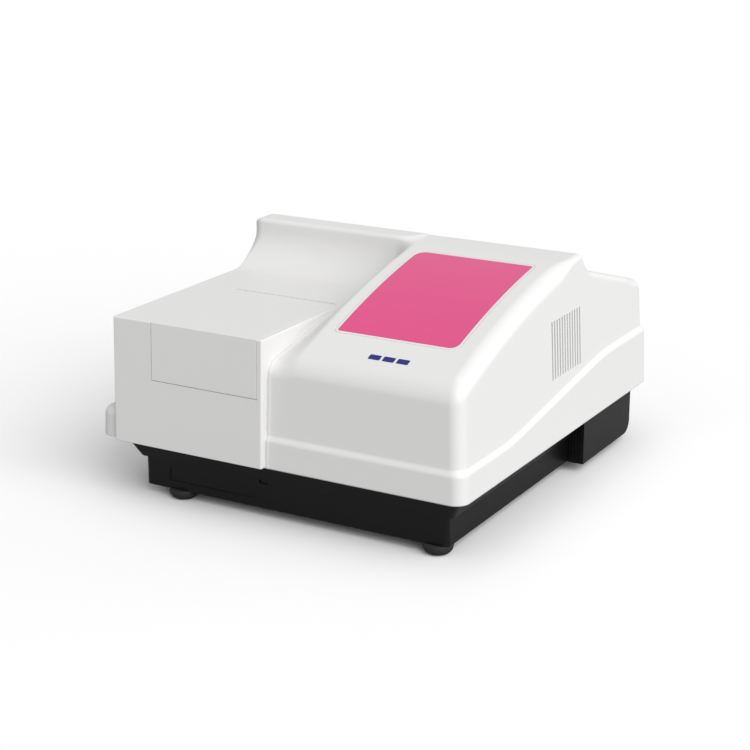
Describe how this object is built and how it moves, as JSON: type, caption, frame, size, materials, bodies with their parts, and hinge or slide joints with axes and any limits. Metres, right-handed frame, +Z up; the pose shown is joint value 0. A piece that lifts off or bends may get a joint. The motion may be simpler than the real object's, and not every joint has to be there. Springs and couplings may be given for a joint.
{
  "type": "spectrophotometer",
  "caption": "Bench spectrophotometer with a stepped white cover, tinted sloping panel, hinged sample lid and black base, with optics and electronics inside.",
  "frame": {"origin": "middle of the footprint, on the surface that the feet stand on", "axes": "+X to the right seen from the front, +Y from the front to the rear, +Z up"},
  "size_m": [0.44, 0.477, 0.2535],
  "materials": {
    "white_plastic": "fine satin moulding",
    "panel_film": "smooth tinted film",
    "black_base": "satin black moulding",
    "black_inner": "matt black",
    "foot_rubber": "matt rubber",
    "steel": "bright zinc plated",
    "panel_metal": "fine texture paint",
    "connector_black": "moulded nylon",
    "rocker_red": "gloss",
    "aluminium": "machined",
    "black_anodised": "black anodised aluminium",
    "cast_grey": "hammer grey paint",
    "mirror": "front-coated optic",
    "glass": "polished",
    "filter_glass": "coated",
    "ceramic": "unglazed ceramic",
    "motor_black": "motor enamel",
    "board_green": "solder mask",
    "gold": "gold plated",
    "cable_grey": "flat cable"
  },
  "bodies": {
    "chassis": {"main_cover": "white_plastic", "panel_overlay": "panel_film", "hinge_pin": "steel", "base_tray": "black_base", "foot_front_left": "foot_rubber", "foot_front_right": "foot_rubber", "foot_rear_left": "foot_rubber", "foot_rear_right": "foot_rubber", "foot_screws": "steel", "cover_screws": "steel", "rear_panel": "panel_metal", "panel_screws": "steel", "power_inlet": "connector_black", "inlet_blades": "steel", "switch_body": "connector_black", "usb_port": "steel", "serial_port": "steel", "fan_frame": "connector_black", "fan_grille": "steel", "optical_bench": "aluminium", "bench_pillars": "aluminium", "bench_screws": "steel", "sample_tub": "black_inner", "tub_windows": "glass", "cell_holder": "black_anodised", "beam_tube": "black_anodised", "beam_lens": "glass", "monochromator_case": "cast_grey", "monochromator_lid": "cast_grey", "slit_plates": "black_anodised", "collimating_mirror": "mirror", "focusing_mirror": "mirror", "mirror_mounts": "aluminium", "grating_motor": "motor_black", "relay_mirrors": "mirror", "lamp_house": "aluminium", "lamp_socket": "ceramic", "halogen_lamp": "glass", "condenser_mirror": "mirror", "chopper_motor": "motor_black", "filter_motor": "motor_black", "detector_case": "aluminium", "detector_sensor": "gold", "detector_heat_sink": "black_anodised", "detector_board": "board_green", "main_board": "board_green", "power_supply": "steel", "ribbon_cable": "cable_grey"},
    "lid": {"sample_lid": "white_plastic", "lid_liner": "black_inner"},
    "fuse_tray": {"fuse_drawer": "connector_black", "fuses": "glass"},
    "rocker": {"power_rocker": "rocker_red"},
    "fan": {"fan_rotor": "connector_black"},
    "grating_drive": {"grating_turntable": "aluminium", "grating": "mirror"},
    "chopper": {"chopper_disc": "black_anodised"},
    "filter_turret": {"filter_wheel": "black_anodised", "filters": "filter_glass"}
  },
  "joints": [
    {"name": "lid_hinge", "type": "hinge", "parent": "chassis", "child": "lid", "pos_m": [-0.0805, -0.079, 0.1967], "axis": [-1, 0, 0], "range_deg": [0, 80]},
    {"name": "fuse_slide", "type": "slide", "parent": "chassis", "child": "fuse_tray", "axis": [0, 1, 0], "range_m": [0, 0.018]},
    {"name": "rocker_pivot", "type": "hinge", "parent": "chassis", "child": "rocker", "pos_m": [-0.088, 0.229, 0.095], "axis": [-1, 0, 0], "range_deg": [0, 18]},
    {"name": "fan_spin", "type": "hinge", "parent": "chassis", "child": "fan", "pos_m": [0.12, 0.222, 0.095], "axis": [0, 1, 0], "continuous": true},
    {"name": "grating_turn", "type": "hinge", "parent": "chassis", "child": "grating_drive", "pos_m": [0.06, -0.105, 0.1], "axis": [0, 0, 1], "range_deg": [-30, 30]},
    {"name": "chopper_spin", "type": "hinge", "parent": "chassis", "child": "chopper", "pos_m": [0.099, 0.072, 0.14], "axis": [1, 0, 0], "continuous": true},
    {"name": "filter_turn", "type": "hinge", "parent": "chassis", "child": "filter_turret", "pos_m": [0.066, 0.016, 0.14], "axis": [1, 0, 0], "continuous": true}
  ]
}
